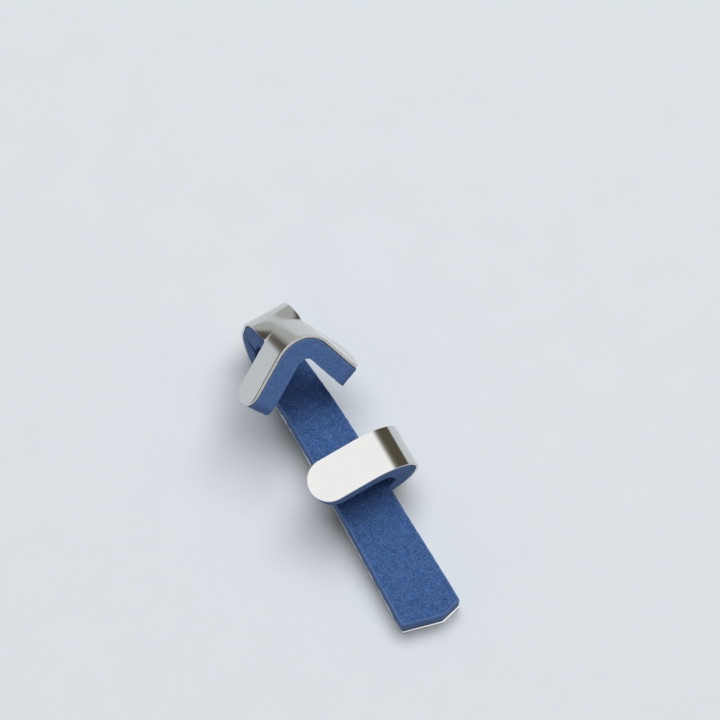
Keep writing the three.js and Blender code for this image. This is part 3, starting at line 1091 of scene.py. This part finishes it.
    def rolled(self, sheet: bpy.types.Object, face: bpy.types.Material,
               cut: bpy.types.Material) -> bpy.types.Object:
        """Rolls a flat solid round the finger and lays it on the table.

        Args:
            sheet: the flat solid, s along x, q along y and its thickness along z.
            face: material of its faces.
            cut: material of its cut edges.

        Returns:
            The same object with its bent mesh.
        """
        shaped_by(sheet, self.roll_tree(f"{sheet.name}_roll", face, cut), self.roll_sizes())
        turn = Matrix(self.rest.turn().tolist()).to_4x4()
        turn.translation = Vector(self.origin * MM)
        sheet.data.transform(turn)
        return sheet

    @staticmethod
    def flat(t: np.ndarray, q: np.ndarray, offset: np.ndarray) -> np.ndarray:
        """Leaves the sheet flat, for the geometry nodes to roll."""
        return np.stack([t, q, offset], -1)

    def build_metal(self, face: bpy.types.Material, cut: bpy.types.Material) -> bpy.types.Object:
        """Makes the rolled metal band.

        Args:
            face: material of the rolled faces.
            cut: material of the cut edges.

        Returns:
            The metal band.
        """
        sheet = sheet_solid("band_sheet", self.blank(0, self.end, True, 0), self.flat,
                            lambda t, q: np.zeros_like(t), lambda t, q: np.full_like(t, self.metal), 1)
        return self.rolled(sheet, face, cut)

    def build_foam(self, face: bpy.types.Material) -> bpy.types.Object:
        """Makes the band's foam lining.

        Args:
            face: the foam's material.

        Returns:
            The band's lining.
        """
        low = self.metal + self.clearance
        lining = sheet_solid(
            "band_lining", self.blank(self.base_end, self.end - self.end_inset, False, self.side_inset),
            self.flat, lambda t, q: np.full_like(t, low), self.foam_top, 8)
        self.rolled(lining, face, face)
        roughened(lining, 0.10, 2.2, 11)
        return lining


@dataclass
class Rivet:
    """The flat-headed rivet that holds the band's base to the back of the strip."""

    rest: Rest
    middle: float = 47.65
    face: float = -1.9
    shank: float = 1.2
    head: float = 2.2
    head_height: float = 0.8
    tail: float = 1.9
    tail_height: float = 0.5
    clearance: float = 0.3
    origin: np.ndarray = field(default_factory=lambda: np.zeros(3))

    def profile(self, steps: int) -> list[tuple[float, float]]:
        """Radius and height round the rivet, from the head's pole to the tail's.

        Args:
            steps: steps over the head's dome.

        Returns:
            The profile's points.
        """
        under = self.face - self.clearance
        dome = [(self.head * math.sin(math.radians(a)), under - self.head_height * math.cos(math.radians(a)))
                for a in spread(0, 90, steps)]
        set_from, set_to = self.clearance, self.clearance + self.tail_height
        return dome + [(self.shank, under), (self.shank, set_from), (self.tail, set_from),
                       (self.tail, set_to), (0.0, set_to)]

    def rings(self, steps: int, sides: int) -> np.ndarray:
        """Every ring's points, in unturned millimetres.

        Args:
            steps: how finely the profile is divided.
            sides: points on each ring.

        Returns:
            Points by ring, and round each ring.
        """
        angles = np.arange(sides) * 2 * math.pi / sides
        return np.array([[(r * math.sin(a), self.middle - r * math.cos(a), n) for a in angles]
                         for r, n in self.profile(steps)])

    def build(self, metal: bpy.types.Material) -> bpy.types.Object:
        """Makes the turned rivet.

        Args:
            metal: its material.

        Returns:
            A closed solid with its poles closed.
        """
        sides = 48
        rings = self.rings(12, sides)
        points = [rings[0][0]] + [p for ring in rings[1:-1] for p in ring] + [rings[-1][0]]
        last = len(points) - 1
        count = len(rings) - 2
        faces: list[tuple[int, ...]] = []
        for i in range(sides):
            j = (i + 1) % sides
            faces.append((0, 1 + j, 1 + i))
            faces.append((last, 1 + (count - 1) * sides + i, 1 + (count - 1) * sides + j))
            for ring in range(count - 1):
                a, b = 1 + ring * sides, 1 + (ring + 1) * sides
                faces.append((a + i, a + j, b + j, b + i))
        placed = np.array(points) @ self.rest.turn().T + self.origin
        mesh = bpy.data.meshes.new("band_rivet")
        mesh.from_pydata((placed * MM).tolist(), [], faces)
        mesh.uv_layers.new(name=SHEET_UV)
        mesh.materials.append(metal)
        return add_object("band_rivet", mesh)


@dataclass
class CellCrumb:
    """Torn bits of cell wall scattered over cut foam by geometry nodes."""

    per_square_mm: float = 0.6
    radius: float = 0.11
    seed: int = 7

    def tree(self, material: bpy.types.Material) -> bpy.types.NodeTree:
        """Builds the scatter.

        Args:
            material: the crumbs' material.

        Returns:
            A tree with the crumbs' density, size and seed as inputs.
        """
        tree = geometry_tree("foam_crumb_scatter", {
            "Density": "NodeSocketFloat", "Radius": "NodeSocketFloat", "Seed": "NodeSocketInt"})
        given = add_node(tree, "NodeGroupInput").outputs
        points = add_node(tree, "GeometryNodeDistributePointsOnFaces", {
            "Mesh": given["Geometry"], "Density": given["Density"], "Seed": given["Seed"]})
        crumb = add_node(tree, "GeometryNodeMeshIcoSphere", {"Radius": given["Radius"], "Subdivisions": 1})
        size = add_node(tree, "FunctionNodeRandomValue", {
            0: (0.5, 0.5, 0.4), 1: (1.5, 1.5, 1.0), "Seed": given["Seed"]}, data_type="FLOAT_VECTOR")
        turn = add_node(tree, "FunctionNodeRandomValue", {
            0: (0.0, 0.0, 0.0), 1: (math.tau, math.tau, math.tau), "Seed": given["Seed"]},
            data_type="FLOAT_VECTOR")
        angle = add_node(tree, "FunctionNodeEulerToRotation", {0: turn.outputs[0]})
        crumbs = add_node(tree, "GeometryNodeInstanceOnPoints", {
            "Points": points.outputs[0], "Instance": crumb.outputs[0],
            "Rotation": angle.outputs[0], "Scale": size.outputs[0]})
        real = add_node(tree, "GeometryNodeRealizeInstances", {0: crumbs.outputs[0]})
        coloured = add_node(tree, "GeometryNodeSetMaterial", {0: real.outputs[0], "Material": material})
        joined = add_node(tree, "GeometryNodeJoinGeometry")
        tree.links.new(coloured.outputs[0], joined.inputs[0])
        tree.links.new(given["Geometry"], joined.inputs[0])
        add_node(tree, "NodeGroupOutput", {0: joined.outputs[0]})
        return tree

    def scatter(self, foam: bpy.types.Object, material: bpy.types.Material) -> bpy.types.Object:
        """Adds the crumbs to a foam piece.

        Args:
            foam: the piece, with its final shape.
            material: the crumbs' material.

        Returns:
            The same object with the crumbs in its mesh.
        """
        return shaped_by(foam, self.tree(material), {
            "Density": self.per_square_mm / MM**2, "Radius": self.radius * MM, "Seed": self.seed})


@dataclass(frozen=True)
class MirrorTent:
    """What polished metal mirrors past the board: a bright tent overhead, dim sides and a grey card."""

    # The bright top is brighter than white paper, so all of the tent is scaled by this
    glow: float = 1.28
    # Elevation in degrees where each band of the tent begins, and its colour
    bands: tuple[tuple[float, str], ...] = (
        (-90.0, "#4f493d"), (22.0, "#544e42"), (31.0, "#736f64"), (43.0, "#fbfbfb"))
    # The card stands past the fingertip: azimuth, elevation, and half angles of its middle and soft edge
    card: tuple[float, float, float, float] = (74.0, -2.0, 15.0, 27.0)
    card_colour: str = "#a4a6a3"

    def build(self, tree: bpy.types.NodeTree) -> bpy.types.NodeSocket:
        """Paints the tent by direction.

        Args:
            tree: the world's node tree.

        Returns:
            The tent's colour.
        """
        way = add_node(tree, "ShaderNodeTexCoord").outputs["Generated"]
        parts = add_node(tree, "ShaderNodeSeparateXYZ", {0: way})
        height = add_node(tree, "ShaderNodeMapRange", {"Value": parts.outputs[2], "From Min": -1.0})
        ramp = add_node(tree, "ShaderNodeValToRGB", {0: height.outputs[0]})
        stops = ramp.color_ramp.elements
        while len(stops) < len(self.bands):
            stops.new(0.5)
        for stop, (elevation, colour) in zip(stops, self.bands):
            stop.position = (math.sin(math.radians(elevation)) + 1) / 2
            stop.color = linear(colour)
        azimuth, elevation, middle, edge = (math.radians(a) for a in self.card)
        centre = (math.cos(azimuth) * math.cos(elevation), math.sin(azimuth) * math.cos(elevation),
                  math.sin(elevation))
        near = add_node(tree, "ShaderNodeVectorMath", {0: way, 1: centre}, operation="DOT_PRODUCT")
        share = add_node(tree, "ShaderNodeMapRange", {
            "Value": near.outputs["Value"], "From Min": math.cos(edge), "From Max": math.cos(middle)},
            interpolation_type="SMOOTHSTEP")
        shade = add_mix(tree, share.outputs[0], ramp.outputs[0], self.card_colour)
        return add_node(tree, "ShaderNodeVectorMath", {0: shade, 3: self.glow}, operation="SCALE").outputs[0]


@dataclass
class Studio:
    """Pale table, one big soft light overhead in a dim warm room, and the photograph's camera."""

    rest: Rest
    anchor: np.ndarray
    # The photograph's view in degrees, from a fit to marked edges. The tilt off vertical ended on the
    # fit's upper limit, so it is an assumption; the turn was free
    tilt: float = 21.0
    turn: float = 29.62
    fit_pitch: float = 4.99
    distance: float = 2603.7
    pixels_per_mm: float = 3.5
    anchor_pixel: tuple[float, float] = (429.70, 617.98)
    image: float = 720.0
    sensor: float = 36.0
    softbox_size: float = 3.2
    softbox_height: float = 4.0
    softbox_power: float = 165.0
    fill: str = "#7b7b7c"
    backdrop: str = "#d7dce4"
    table_radius: float = 5.0
    board_centre: tuple[float, float] = (-0.02, 0.02)
    board_radius: float = 0.15
    table_drop: float = 0.00004

    def axes(self) -> tuple[np.ndarray, np.ndarray, np.ndarray]:
        """The image's right, its up, and the direction towards the camera, in the CAD frame.

        Returns:
            Three unit vectors, in that order.
        """
        tilt, turn = math.radians(self.tilt), math.radians(self.turn)
        right = np.array([math.cos(turn), -math.sin(turn), 0.0])
        up = np.array([math.sin(turn) * math.cos(tilt), math.cos(turn) * math.cos(tilt), math.sin(tilt)])
        fit = np.array(Matrix.Rotation(math.radians(self.fit_pitch), 3, "X"))
        into = self.rest.turn() @ fit.T
        return into @ right, into @ up, into @ np.cross(right, up)

    def add_camera(self) -> None:
        """Adds the camera that frames the splint as the photograph does."""
        right, up, back = self.axes()
        half = self.image / 2
        aside = (half - self.anchor_pixel[0]) / self.pixels_per_mm
        above = (self.anchor_pixel[1] - half) / self.pixels_per_mm
        eye = self.anchor + right * aside + up * above + back * self.distance
        data = bpy.data.cameras.new("photo_view")
        data.sensor_width = self.sensor
        data.lens = self.sensor * self.distance * self.pixels_per_mm / self.image
        data.clip_start, data.clip_end = 0.05, 20.0
        camera = add_object("photo_view", data)
        pose = Matrix(np.stack([right, up, back], -1).tolist()).to_4x4()
        pose.translation = Vector(eye * MM)
        camera.matrix_world = pose
        bpy.context.scene.camera = camera

    def add_softbox(self) -> None:
        """Adds the square soft light overhead, leaning a little towards the image's top and right."""
        right, up, _ = self.axes()
        aim = Vector(up * np.array([1, 1, 0]) * 0.28 + right * 0.10 + np.array([0, 0, 1.0])).normalized()
        data = bpy.data.lights.new("overhead_softbox", "AREA")
        data.shape, data.size = "SQUARE", self.softbox_size
        data.energy, data.color = self.softbox_power, linear("#fbfcff")[:3]
        lamp = add_object("overhead_softbox", data)
        lamp.visible_glossy = False
        lamp.matrix_world = Matrix.Translation(aim * self.softbox_height) @ aim.to_track_quat(
            "Z", "Y").to_matrix().to_4x4()

    def add_world(self) -> None:
        """Sets the room: pale to the camera, dim to the table and foam, and mirrored as a tent by metal."""
        world = bpy.data.worlds.new("tented_room")
        world.use_nodes = True
        world.cycles.sampling_method = "NONE"
        bpy.context.scene.world = world
        tree = world.node_tree
        tree.nodes.clear()
        seen = add_node(tree, "ShaderNodeLightPath")
        dim = add_mix(tree, seen.outputs["Is Glossy Ray"], self.fill, MirrorTent().build(tree))
        pale = add_mix(tree, seen.outputs["Is Camera Ray"], dim, self.backdrop)
        light = add_node(tree, "ShaderNodeBackground", {"Color": pale, "Strength": 1.0})
        add_node(tree, "ShaderNodeOutputWorld", {0: light.outputs[0]})

    def add_table(self) -> None:
        """Adds the pale table, and the board under the splint that is all the metal mirrors of it."""
        paper = TablePaper().build()
        for name, (x, y), radius, drop in (
                ("table", (0.0, 0.0), self.table_radius, self.table_drop),
                ("mirrored_board", self.board_centre, self.board_radius, self.table_drop / 2)):
            mesh = bpy.data.meshes.new(name)
            turns = spread(0, math.tau, 96)[:-1]
            ring = [(x + radius * math.cos(a), y + radius * math.sin(a), -drop) for a in turns]
            mesh.from_pydata(ring, [], [tuple(range(len(ring)))])
            mesh.materials.append(paper)
            table = add_object(name, mesh)
            mirrored = name == "mirrored_board"
            table.visible_glossy = mirrored
            table.visible_camera = table.visible_diffuse = table.visible_shadow = not mirrored

    def build(self) -> None:
        """Sets the whole stage."""
        self.add_table()
        self.add_world()
        self.add_softbox()
        bpy.context.scene.view_settings.view_transform = "Standard"
        self.add_camera()


def dress(piece: bpy.types.Object, node: str) -> None:
    """Ties a finished piece to the frame.

    Args:
        piece: the finished piece.
        node: the CAD node that it replaces.
    """
    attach(piece, BODY)
    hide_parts(node)
    log.info("%s replaces %s: %d faces", piece.name, node, len(piece.data.polygons))


def two_faced(piece: bpy.types.Object, face: bpy.types.Material, cut: bpy.types.Material) -> None:
    """Gives a sheet one material on its faces and another on its cut edges.

    Args:
        piece: a sheet with its cut faces marked.
        face: material of the faces.
        cut: material of the cut edges.
    """
    piece.data.materials.append(face)
    piece.data.materials.append(cut)
    marks = piece.data.attributes[CUT_FACES].data
    piece.data.polygons.foreach_set("material_index", [int(m.value) for m in marks])


def main() -> None:
    """Builds the splint, then its stage."""
    logging.basicConfig(level=logging.INFO, format="%(message)s")
    rest = Rest()
    rivet = Rivet(rest)
    origin = rest.shift(rivet.rings(4, 20).reshape(-1, 3), "rivet")
    rivet.origin = origin
    strip = Strip(rest, origin=origin)
    band = Band(rest, origin=origin)
    metal, cut = RolledAluminium().build(), ShearedEdge().build()
    foam, crumb_finish = OpenCellFoam().build(), TornCellWall().build()
    crumb = CellCrumb()

    sheet = strip.build_metal()
    two_faced(sheet, metal, cut)
    dress(eased(sheet, 0.12, 2), "strip")

    curl = band.build_metal(metal, cut)
    dress(eased(curl, 0.28, 3), "band")

    lining = strip.build_foam()
    lining.data.materials.append(foam)
    eased(lining, 0.45, 3)
    dress(crumb.scatter(lining, crumb_finish), "strip_foam")

    pad = band.build_foam(foam)
    eased(pad, 0.45, 3)
    dress(crumb.scatter(pad, crumb_finish), "band_foam")

    dress(eased(rivet.build(metal), 0.12, 2), "rivet")

    anchor = rest.turn() @ np.array([0.0, 3.0, 0.0]) + origin
    Studio(rest, anchor).build()


if __name__ == "__main__":
    main()
